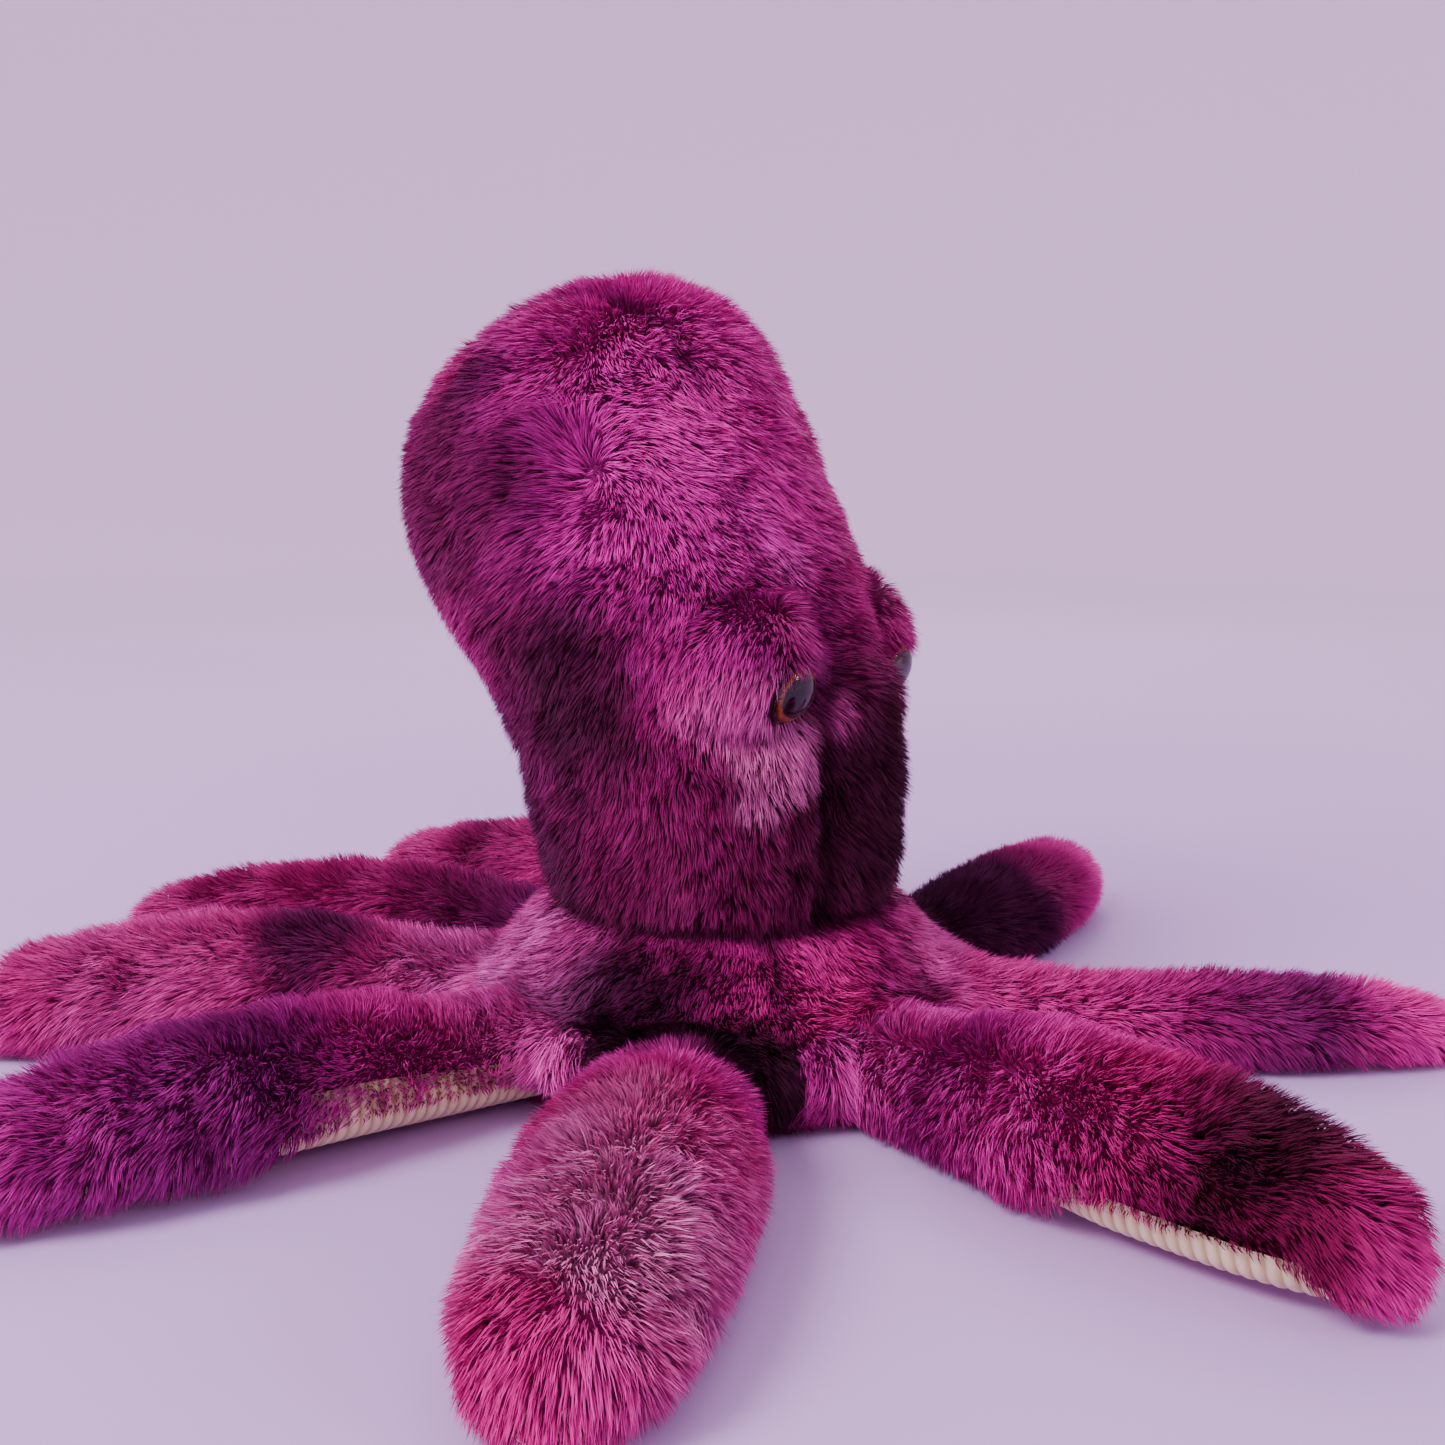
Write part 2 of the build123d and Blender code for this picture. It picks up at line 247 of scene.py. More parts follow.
def make_mesh(name, points, faces, smooth=True):
    """A piece from an array of points and a list of arrays of faces."""
    mesh = bpy.data.meshes.new(name)
    mesh.vertices.add(len(points))
    mesh.vertices.foreach_set("co", np.asarray(points, np.float32).ravel())
    faces = [f for f in faces if len(f)]
    loops = np.concatenate([f.ravel() for f in faces])
    totals = np.concatenate([np.full(len(f), f.shape[1]) for f in faces])
    starts = np.concatenate([[0], np.cumsum(totals)[:-1]])
    mesh.loops.add(len(loops))
    mesh.loops.foreach_set("vertex_index", loops.astype(np.int32))
    mesh.polygons.add(len(totals))
    mesh.polygons.foreach_set("loop_start", starts.astype(np.int32))
    mesh.polygons.foreach_set("loop_total", totals.astype(np.int32))
    mesh.polygons.foreach_set("use_smooth", np.full(len(totals), smooth))
    mesh.update(calc_edges=True)
    mesh.validate()
    piece = bpy.data.objects.new(name, mesh)
    bpy.context.scene.collection.objects.link(piece)
    return piece


def add_attribute(piece, name, values, kind="FLOAT"):
    attribute = piece.data.attributes.new(name, kind, "POINT")
    key = "vector" if kind == "FLOAT_VECTOR" else "value"
    attribute.data.foreach_set(key, np.asarray(values, np.float32).ravel())


def face_outwards(piece):
    """Turns the faces of a closed piece outwards, whichever way its rings ran."""
    form = bmesh.new()
    form.from_mesh(piece.data)
    bmesh.ops.recalc_face_normals(form, faces=form.faces)
    form.to_mesh(piece.data)
    form.free()


def capped_tube(rings):
    """Points and faces of a closed tube through rings of points."""
    rows, columns = rings.shape[:2]
    points = np.concatenate([rings.reshape(-1, 3), [rings[0].mean(0)], [rings[-1].mean(0)]])
    faces = grid_faces(rows, columns, closed=True)
    j = np.arange(columns)
    k = (j + 1) % columns
    first = np.stack([k, j, np.full(columns, rows * columns)], -1)
    last = (rows - 1) * columns
    end = np.stack([last + j, last + k, np.full(columns, rows * columns + 1)], -1)
    return points, [faces, first, end]


def turned_rings(radius, height, columns):
    """Rings of points about an upright axis, one for each radius and height."""
    angle = full_turn(columns)
    x, y = radius[:, None] * np.cos(angle), radius[:, None] * np.sin(angle)
    return np.stack([x, y, height[:, None] + 0 * angle], -1)


def arm_filling(arm):
    share = np.linspace(-0.3, 1.0, 66)[:, None]
    share, angle = np.broadcast_arrays(share, full_turn(32)[None, :])
    return capped_tube(arm.surface(share, angle, PILE_STAND, 3 * MM))


def head_rings(stand):
    """The filling of the neck and mantle; it stands back under the pile, and more so towards the top."""
    foot, top = HEAD_FORM[0][0], HEAD_FORM[-1][0]
    height = np.linspace(foot, top, 60)
    radius = np.maximum(spline(HEAD_FORM, 2, height) * MM - stand, 2 * MM)
    rings = turned_rings(radius, height * MM - stand * (height - foot) / (top - foot), 64)
    rings[..., 1] += spline(HEAD_FORM, 1, height)[:, None] * MM
    return rings


def base_rings(stand):
    """The round rim and the shoulder up to the neck."""
    turn = np.linspace(-math.pi / 2, math.pi / 2, 14)
    rim = RIM_RADIUS - stand / 2 - 1.5 * MM
    middle = 3 * MM + rim
    radius = np.concatenate([RIM_CENTRE + rim * np.cos(turn), [72 * MM, 66 * MM]])
    height = np.concatenate([middle + rim * np.sin(turn), [NECK_HEIGHT - 9 * MM, NECK_HEIGHT]])
    return turned_rings(radius, height, 72)


def ball(centre, radius):
    pole = math.pi / 2 - 0.12
    turn = np.linspace(-pole, pole, 18)
    return np.asarray(centre) + radius * turned_rings(np.cos(turn), np.sin(turn), 28)


def join_closed(parts):
    points, faces, offset = [], [], 0
    for part_points, part_faces in parts:
        points.append(part_points)
        faces += [f + offset for f in part_faces]
        offset += len(part_points)
    return np.concatenate(points), faces


def eye_places():
    """Centre, outward direction and radius of each eye's disc."""
    node = frame["nodes"]["eye_discs"]
    points = np.array([tuple(node.matrix_world @ v.co) for v in node.data.vertices])
    places = {}
    for side, name in ((-1, "left"), (1, "right")):
        own = points[points[:, 0] * side > 0]
        centre = (own.min(0) + own.max(0)) / 2
        spread = np.linalg.svd(own - own.mean(0), full_matrices=False)[2]
        out = spread[2] * (-1 if spread[2][1] > 0 else 1)
        places[name] = (centre, out, np.linalg.norm(own - centre, axis=1).max())
    return places


arms = {n: Arm(n) for n in range(1, 9)}
eyes = eye_places()
skirt_seams = []
for arm, following in zip(arms.values(), [*list(arms.values())[1:], arms[1]]):
    skirt_seams.append(arm.heading + (following.heading - arm.heading) % (2 * math.pi) / 2)


def apply_modifiers(piece):
    """The piece's mesh as its modifiers leave it."""
    evaluated = piece.evaluated_get(bpy.context.evaluated_depsgraph_get())
    mesh = bpy.data.meshes.new_from_object(evaluated)
    piece.modifiers.clear()
    piece.data = mesh


def mesh_points(mesh):
    points = np.empty(len(mesh.vertices) * 3, np.float32)
    mesh.vertices.foreach_get("co", points)
    return points.reshape(-1, 3).astype(float)


def eye_balls(name):
    """Balls of filling behind the eye, over it as a brow, and between the eyes."""
    centre, out, _ = eyes[name]
    outward = unit(np.array([centre[0], 0.0, 0.0]))
    mound = centre - out * (MOUND_RADIUS - 9 * MM) + UP * 2 * MM
    return [
        (mound, MOUND_RADIUS - 8 * MM),
        (centre - out * 12 * MM + UP * 18 * MM - outward * 2 * MM, 13 * MM),
        (np.array([outward[0] * 12 * MM, -48 * MM, 148 * MM]), 19 * MM),
    ]


def stuffed_body():
    """All the filling as one form: arms, base, head and eye mounds grown together."""
    parts = [arm_filling(arm) for arm in arms.values()]
    parts.append(capped_tube(base_rings(PILE_STAND)))
    parts.append(capped_tube(head_rings(PILE_STAND + 1 * MM)))
    parts += [capped_tube(ball(*place)) for name in eyes for place in eye_balls(name)]
    points, faces = join_closed(parts)
    body = make_mesh("stuffed_body", points, faces)
    remesh = body.modifiers.new("one_form", "REMESH")
    remesh.mode = "VOXEL"
    remesh.voxel_size = VOXEL
    soften = body.modifiers.new("soft_edges", "SMOOTH")
    soften.factor = 0.5
    soften.iterations = 5
    apply_modifiers(body)
    return body


def seam_depth(points):
    """How deep the sewn seams pull in, in metres."""
    x, y, z = points.T
    radius = np.hypot(x, y)
    neck = fade(z - NECK_HEIGHT - 2 * MM, 5 * MM) * (radius < 95 * MM)
    side = fade(np.abs(x) - STRIP_WIDTH / 2, 4 * MM) * (z > NECK_HEIGHT)
    gusset = side * smoothstep(155 * MM, 135 * MM, z) * (y < 10 * MM)
    crown = side * smoothstep(250 * MM, 280 * MM, z)
    back = side * (y > 20 * MM) * smoothstep(70 * MM, 130 * MM, z)
    turn = np.arctan2(y, x)
    skirt = np.zeros(len(points))
    for heading in skirt_seams:
        aside = np.abs(np.sin(turn - heading)) * radius
        near = (np.cos(turn - heading) > 0) & (z < NECK_HEIGHT) & (z > 12 * MM)
        near = near * smoothstep(125 * MM, 105 * MM, radius)
        skirt = np.maximum(skirt, fade(aside, 4 * MM) * near)
    around_eye = np.zeros(len(points))
    for name in eyes:
        mound, size = eye_balls(name)[0]
        gap = np.linalg.norm(points - mound, axis=1) - size - 3 * MM
        around_eye = np.maximum(around_eye, fade(gap, 4 * MM) * (y < mound[1] + 8 * MM))
    head = NECK_SEAM * neck + STRIP_SEAM * np.maximum(gusset, crown) + BACK_SEAM * back
    return head + SKIRT_SEAM * skirt + MOUND_SEAM * around_eye


def puff(body):
    """Fills the sewn cover: pressure from inside, held along the seams."""
    rest = mesh_points(body.data)
    held = seam_depth(rest) > 2 * MM
    low = rest[:, 2] < 9 * MM
    group = body.vertex_groups.new(name="held")
    group.add(np.nonzero(held | low)[0].tolist(), 1.0, "REPLACE")
    cloth = body.modifiers.new("filling", "CLOTH")
    settings = cloth.settings
    settings.use_pressure = True
    settings.uniform_pressure_force = 4
    settings.tension_stiffness = 12
    settings.compression_stiffness = 12
    settings.bending_stiffness = 1.5
    settings.quality = 4
    settings.vertex_group_mass = "held"
    settings.effector_weights.gravity = 0
    scene = bpy.context.scene
    for step in range(1, 13):
        scene.frame_set(step)
    apply_modifiers(body)
    scene.frame_set(1)
    moved = mesh_points(body.data)
    shift = moved - rest
    size = np.linalg.norm(shift, axis=1, keepdims=True)
    kept = rest + shift * np.minimum(1, MOST_PUFF / np.maximum(size, 1e-9))
    body.data.vertices.foreach_set("co", kept.astype(np.float32).ravel())
    body.data.update()


def skin_arrays(body):
    """Triangles, points and normals of the grown form."""
    mesh = body.data
    mesh.calc_loop_triangles()
    triangles = np.empty(len(mesh.loop_triangles) * 3, np.int32)
    mesh.loop_triangles.foreach_get("vertices", triangles)
    triangles = triangles.reshape(-1, 3)
    points = mesh_points(mesh)
    a, b, c = points[triangles[:, 0]], points[triangles[:, 1]], points[triangles[:, 2]]
    flat = np.cross(b - a, c - a)
    normals = np.zeros_like(points)
    for k in range(3):
        np.add.at(normals, triangles[:, k], flat)
    return points, triangles, unit(normals)


def nearest_arm(points):
    """For every point: the nearest arm's number and the share of its length there."""
    number = np.zeros(len(points), int)
    best = np.full(len(points), np.inf)
    share = np.zeros(len(points))
    for n, arm in arms.items():
        gap = np.linalg.norm(points[:, None, :2] - arm.line[None], axis=2)
        index = gap.argmin(1)
        distance = gap[np.arange(len(points)), index]
        closer = distance < best
        number[closer] = n
        best[closer] = distance[closer]
        share[closer] = arm.share_line[index[closer]]
    return number, share


# Fur

def part_codes(points):
    """For every point: 0 skirt, 1 to 3 head, 10 n for the root of arm n and 10 n + 1 for its outer part."""
    number, share = nearest_arm(points)
    radius = np.hypot(points[:, 0], points[:, 1])
    panel = np.where(np.abs(points[:, 0]) < STRIP_WIDTH / 2, 2, np.where(points[:, 0] < 0, 1, 3))
    code = np.where(points[:, 2] > NECK_HEIGHT + 2 * MM, panel, 0)
    on_arm = (radius > 96 * MM) & (points[:, 2] < 78 * MM)
    code[on_arm] = (10 * number + (share > SPLIT_SHARE))[on_arm]
    return code, number, share


def cell_noise(points, size, seed, width=3):
    """Numbers from -1 to 1 that are the same all over a cell of space, smoothed between cells."""
    scaled = points / size + seed * 17.3
    low = np.floor(scaled).astype(np.int64)
    t = scaled - low
    t = t * t * (3 - 2 * t)
    total = np.zeros((len(points), width))
    for corner in range(8):
        bits = np.array([(corner >> k) & 1 for k in range(3)])
        cell = low + bits
        weight = np.prod(np.where(bits, t, 1 - t), axis=1)
        for k in range(width):
            x, y, z = (cell * SCATTER).T
            mixed = x ^ y ^ z ^ (k + seed) * 2654435
            mixed = (mixed ^ (mixed >> 13)) * 1274126177 & 0x7FFFFFFF
            total[:, k] += weight * (mixed % 10007 / 5003.5 - 1)
    return total


def arm_coordinates(points, number, share):
    """Side and height of points on the arm's own, unrolled section."""
    side = np.zeros(len(points))
    lift = np.zeros(len(points))
    half = np.ones(len(points))
    for n, arm in arms.items():
        own = number == n
        if not own.any():
            continue
        centre, _, across = arm.place(share[own])
        half_width, height = arm.sizes(share[own])
        roll = arm.roll(share[own])
        lowest = np.maximum(half_width - PILE_STAND, 0) * np.abs(np.sin(roll)) * ROLL_RISE
        flat_side = ((points[own, :2] - centre) * across[:, :2]).sum(1)
        up = points[own, 2] - np.minimum(SIDE_SEAM, height * SEAM_SHARE) - lowest
        side[own] = flat_side * np.cos(roll) + up * np.sin(roll)
        lift[own] = -flat_side * np.sin(roll) + up * np.cos(roll)
        half[own] = half_width
    return side / half, lift


def flow(points, normals, number, share, code):
    """The way the pile lies, along the cloth."""
    x, y, z = points.T
    radius = np.maximum(np.hypot(x, y), 1e-6)
    outward = np.stack([x / radius, y / radius, 0 * x], -1)
    lie = outward - 1.2 * UP
    head = (code >= 1) & (code <= 3)
    centre_y = spline(HEAD_FORM, 1, np.clip(z[head] / MM, 52, 313)) * MM
    away = unit(np.stack([x[head], y[head] - centre_y, 0 * y[head]], -1))
    top = smoothstep(240 * MM, 300 * MM, z[head])[:, None]
    lie[head] = -1.0 * UP + top * away + 0.25 * np.array([0, 1, 0]) * smoothstep(0.12, 0.2, z[head])[:, None]
    for side in (-1, 1):
        swirl = np.array([side * 78 * MM, 6 * MM, 236 * MM])
        gap = points[head] - swirl
        near = fade(np.linalg.norm(gap, axis=1), 42 * MM)[:, None]
        turn = np.cross(normals[head], unit(gap)) * side
        lie[head] += near * (1.6 * unit(gap) + 1.2 * turn)
    for centre, _, _ in eyes.values():
        gap = points[head] - centre
        near = np.exp(-((np.linalg.norm(gap, axis=1) / (26 * MM)) ** 4))[:, None]
        lie[head] = lie[head] * (1 - near) + near * (0.7 * unit(gap) - 0.9 * UP)
    for n, arm in arms.items():
        own = (number == n) & (code >= 10)
        _, ahead, across = arm.place(share[own])
        offset, lift = arm_coordinates(points[own], number[own], share[own])
        shown, edge = shown_ribs(number[own], share[own], code[own])
        hang = (0.35 + 0.9 * smoothstep(14 * MM, 0.0, lift - edge)) * (1 - shown)
        lie[own] = ahead + across * 0.7 * offset[:, None] - hang[:, None] * UP
    lie -= normals * (lie * normals).sum(1, keepdims=True)
    return unit(lie)


def shown_ribs(number, share, code):
    """How far the ribbed cloth shows beside the fur, from 0 to 1, and the fur's edge over the seam."""
    shown = np.zeros(len(number))
    edge = np.full(len(number), FUR_EDGE)
    for n, (_, _, _, over) in ARM_ROLL.items():
        own = (number == n) & (code >= 10)
        shown[own] = arms[n].shows(share[own])
        edge[own] = FUR_EDGE + (over - FUR_EDGE) * shown[own]
    return shown, edge


def bare(points, number, share, code):
    """Where no pile grows: under the side seams and on the eyes."""
    _, lift = arm_coordinates(points, number, share)
    _, edge = shown_ribs(number, share, code)
    under = np.where(code >= 10, lift < edge, points[:, 2] < FUR_FOOT)
    for centre, out, radius in eyes.values():
        gap = points - centre
        along = gap @ out
        aside = np.linalg.norm(gap - along[:, None] * out, axis=1)
        under |= (aside < radius * 0.86) & (along > -16 * MM)
    return under


def lock_roots(skin, triangles, wanted):
    """Where the locks of one part start: place, normal, arm, share of its length, seam depth and part."""
    facts = ("points", "normals", "number", "share", "depth")
    points, normals, numbers, shares, depths = (skin[fact] for fact in facts)
    a, b, c = (points[triangles[:, k]] for k in range(3))
    area = np.linalg.norm(np.cross(b - a, c - a), axis=1) / 2
    count = int(area.sum() / MM**2 * HAIRS_PER_MM2)
    corners = triangles[rng.choice(len(triangles), count, p=area / area.sum())]
    u, v = rng.random((2, count))
    flip = u + v > 1
    u[flip], v[flip] = 1 - u[flip], 1 - v[flip]
    weights = np.stack([1 - u - v, u, v], -1)
    root = (points[corners] * weights[..., None]).sum(1)
    normal = unit((normals[corners] * weights[..., None]).sum(1))
    number = numbers[corners[:, 0]]
    share = (shares[corners] * weights).sum(1)
    fold = (depths[corners] * weights).sum(1)
    code = np.full(count, wanted)
    kept = ~bare(root, number, share, code)
    return [fact[kept] for fact in (root, normal, number, share, fold, code)]


def grow(skin, triangles, wanted):
    """Locks of pile over one part's cloth: five points and two faces each."""
    root, normal, number, share, fold, code = lock_roots(skin, triangles, wanted)
    lie = flow(root, normal, number, share, code)
    count = len(root)

    # locks lean together over about 12 mm and stray a little at 4.5 mm
    tuft = cell_noise(root, 12 * MM, 1)
    small = cell_noise(root, 4.5 * MM, 2)
    lean = 0.8 + 0.35 * cell_noise(root, 18 * MM, 3, 1)
    wander = 0.30 * tuft + 0.28 * small + 0.13 * rng.normal(size=(count, 3))
    side, lift = arm_coordinates(root, number, share)
    shown, edge = shown_ribs(number, share, code)
    trimmed = 1 - 0.45 * shown * (lift < edge + 6 * MM)
    length = PILE * trimmed[:, None] * (1 + 0.1 * tuft[:, :1] + 0.1 * rng.normal(size=(count, 1)))
    first = unit(normal + 0.45 * lean * lie + 0.6 * wander)
    second = unit(0.8 * normal + 0.85 * lean * lie + wander - 0.1 * UP)
    middle = root + first * length * 0.48
    tip = middle + second * length * 0.56

    # tips of neighbouring locks cling together in clumps of 2.6 mm
    keys = np.floor((root + 0.8 * MM * small) / (2.6 * MM)).astype(np.int64)
    _, clump, size = np.unique((keys * SCATTER).sum(1), return_inverse=True, return_counts=True)
    pull = 0.5 * rng.random((count, 1)) ** 0.5
    for place, share_of_pull in ((tip, 1.0), (middle, 0.45)):
        mean = np.stack([np.bincount(clump, place[:, k]) for k in range(3)], -1) / size[:, None]
        place += (mean[clump] - place) * pull * share_of_pull
        place[:, 2] = np.maximum(place[:, 2], 0.6 * MM)

    along = unit(tip - root)
    # blades lie with their faces outwards, a little turned
    beside = unit(np.cross(along, normal) + 0.45 * rng.normal(size=(count, 3)))
    beside = unit(beside - along * (beside * along).sum(1, keepdims=True))
    facing = (np.cross(beside, along) * normal).sum(1, keepdims=True)
    beside = np.where(facing < 0, -beside, beside)
    base = root - normal * 0.8 * MM
    half = HAIR_WIDTH / 2
    edge = beside * half
    blade = np.stack([base - edge, base + edge, middle - edge, middle + edge, tip], 1)
    across_pile = normal - along * (normal * along).sum(1, keepdims=True)
    shine = unit(across_pile + 0.4 * beside * rng.normal(size=(count, 1)))
    index = np.arange(count)[:, None] * 5
    quads = index + np.array([0, 1, 3, 2])
    ends = index + np.array([2, 3, 4])
    facts = {
        "root": np.repeat(root, 5, 0),
        "along": np.repeat(share, 5),
        "around": np.repeat(side, 5),
        "shade": np.repeat(rng.random(count), 5),
        "fold": np.repeat(fold, 5),
        "tip": np.tile([0.0, 0.0, 0.5, 0.5, 1.0], count),
    }
    # each lock has its own cell of the baked map, over a strip that is kept for the cloth
    cells = math.ceil(math.sqrt(count))
    column, row = np.arange(count) % cells, np.arange(count) // cells
    spot = np.array([[0.15, 0.1], [0.85, 0.1], [0.15, 0.5], [0.85, 0.5], [0.5, 0.9]])
    places = (np.stack([column, row], -1)[:, None] + spot) / cells
    places[..., 1] = 0.12 + 0.88 * places[..., 1]
    return blade.reshape(-1, 3), [quads, ends], np.repeat(shine, 5, 0), facts, places.reshape(-1, 2)


def furred_piece(name, skin, wanted, material):
    """One part's cloth with its pile, as one piece."""
    own = skin["triangles"][skin["face_code"] == wanted]
    used, packed = np.unique(own, return_inverse=True)
    packed = packed.reshape(-1, 3)
    points, normals = skin["points"][used], skin["normals"][used]
    cloth = points - normals * 0.4 * MM
    hair, faces, shine, facts, places = grow(skin, own, wanted)
    side, _ = arm_coordinates(points, skin["number"][used], skin["share"][used])
    backing = {
        "root": points,
        "along": skin["share"][used],
        "around": side,
        "shade": np.full(len(used), 0.4),
        "fold": skin["depth"][used],
        # painted shade: the cloth under the pile is as dark as the locks' roots
        "tip": np.full(len(used), 0.05),
    }
    piece = make_mesh(name, np.concatenate([hair, cloth]), faces + [packed + len(hair)])
    for key, values in facts.items():
        values = np.concatenate([values, backing[key]])
        add_attribute(piece, key, values, "FLOAT_VECTOR" if key == "root" else "FLOAT")
    low, high = cloth.min(0), cloth.max(0)
    flat = (cloth[:, :2] - low[:2]) / np.maximum((high - low)[:2], 1e-6) * np.array([1, 0.11])
    corner = np.empty(len(piece.data.loops), np.int32)
    piece.data.loops.foreach_get("vertex_index", corner)
    layer = piece.data.uv_layers.new(name="OFBake")
    layer.uv.foreach_set("vector", np.concatenate([places, flat])[corner].astype(np.float32).ravel())
    piece.data.normals_split_custom_set_from_vertices(np.concatenate([shine, normals]).tolist())
    piece.data.materials.append(material)
    return piece


# Ribbed cotton

def ribbed(distance):
    """Height of the ribs, from 0 in a furrow to 1 on a crest."""
    return np.abs(np.sin(math.pi * distance / RIB_PITCH)) ** 0.7


def corduroy_piece(name, points, faces, rib, material):
    piece = make_mesh(name, points, [faces])
    add_attribute(piece, "rib", rib.ravel())
    add_attribute(piece, "root", points, "FLOAT_VECTOR")
    piece.data.materials.append(material)
    return piece


def ribbed_strip(arm, first, last, name, material):
    """The underside of an arm between two shares of its length, ribs across it."""
    steps = int((last - first) * arm.length / (RIB_PITCH / 7))
    share = np.linspace(first, last, steps)[:, None]
    past = 0.32 if arm.number in ARM_ROLL else 0.1
    angle = np.linspace(math.pi - past, 2 * math.pi + past, 40)[None, :]
    share, angle = np.broadcast_arrays(share, angle)
    # the cloth goes in under the fur's edge
    depth = SIDE_SEAM * np.sin(angle)
    under_fur = smoothstep(FUR_EDGE - 2 * MM, FUR_EDGE + 3 * MM, depth) * (1 - arm.shows(share))
    tucked = PILE_STAND - CORD_OFFSET + 5 * MM * under_fur
    cloth = arm.surface(share, angle, tucked, 0.8 * MM)
    under = arm.surface(share, angle, tucked + 2 * MM, 2.8 * MM)
    out = unit(cloth - under)
    wobble = 0.35 * MM * np.sin(angle * 3 + share * 9)
    rib = ribbed(share * arm.length + wobble)
    points = (cloth - out * RIB_DEPTH * (1 - rib)[..., None]).reshape(-1, 3)
    furrow = (1 - rib.ravel()) * RIB_DEPTH
    points[:, 2] = np.maximum(points[:, 2], 0.15 * MM + furrow)
    return corduroy_piece(name, points, grid_faces(*share.shape), rib, material)


def belly(material):
    """The round ribbed panel under the base, turned up at its rim."""
    reach = RIM_CENTRE + 13 * MM
    lines = int(2 * reach / (RIB_PITCH / 6))
    y = np.linspace(-reach * 0.998, reach * 0.998, lines)[:, None]
    chord = np.sqrt(reach**2 - y**2)
    x = np.linspace(-1, 1, 60)[None, :] * chord
    rib = ribbed(y + 0 * x)
    rim = np.clip(np.hypot(x, y) - RIM_CENTRE, 0, 13 * MM) / (13.5 * MM)
    z = 0.2 * MM + (1 - rib) * RIB_DEPTH + 14 * MM * (1 - np.sqrt(1 - rim**2))
    points = np.stack([x, y + 0 * x, z], -1).reshape(-1, 3)
    return corduroy_piece("belly_panel_cloth", points, grid_faces(*x.shape)[:, ::-1], rib, material)


# Materials

def linear(hex_colour):
    """An sRGB hex colour as linear red, green, blue and alpha."""
    parts = [int(hex_colour[i : i + 2], 16) / 255 for i in (1, 3, 5)]
    return [p / 12.92 if p <= 0.04045 else ((p + 0.055) / 1.055) ** 2.4 for p in parts] + [1.0]


DYE_GAIN = (3.5, 0.75, 1.9)  # for red, green and blue


def dye(hex_colour):
    """A dye that looks like the hex colour under the pile's own shade: brighter, and less green."""
    return [1 - (1 - min(p, 1.0)) ** k for p, k in zip(linear(hex_colour), DYE_GAIN)] + [1.0]


def add_node(tree, kind, inputs=None, **settings):
    """One node with its settings; each input is a value or another node's output."""
    node = tree.nodes.new("ShaderNode" + kind)
    for key, value in settings.items():
        setattr(node, key, value)
    for key, value in (inputs or {}).items():
        if isinstance(value, bpy.types.NodeSocket):
            tree.links.new(value, node.inputs[key])
        else:
            node.inputs[key].default_value = value
    return node


def attribute(tree, name, output="Fac"):
    return add_node(tree, "Attribute", attribute_name=name).outputs[output]


def scaled(tree, colour, by):
    """A colour made darker or lighter by a number."""
    return add_node(tree, "VectorMath", {0: colour, "Scale": by}, operation="SCALE").outputs[0]


def tinted(tree, colour, by):
    """A colour made darker by another colour."""
    return add_node(tree, "VectorMath", {0: colour, 1: by}, operation="MULTIPLY").outputs[0]


def mixed_colour(tree, share, one, other):
    """One colour, going over to a fixed other one with the share."""
    mix = add_node(tree, "Mix", {"Factor": share}, data_type="RGBA")
    tree.links.new(one, mix.inputs[6])
    mix.inputs[7].default_value = other
    return mix.outputs[2]


def new_material(name):
    material = bpy.data.materials.new(name)
    material.use_nodes = True
    tree = material.node_tree
    shader = tree.nodes["Principled BSDF"]
    return material, tree, shader


def set_stops(ramp, stops, colour_of=linear):
    elements = ramp.color_ramp.elements
    while len(elements) > 1:
        elements.remove(elements[-1])
    for i, (place, colour) in enumerate(stops):
        element = elements[0] if i == 0 else elements.new(place)
        element.position = place
        element.color = colour_of(colour)


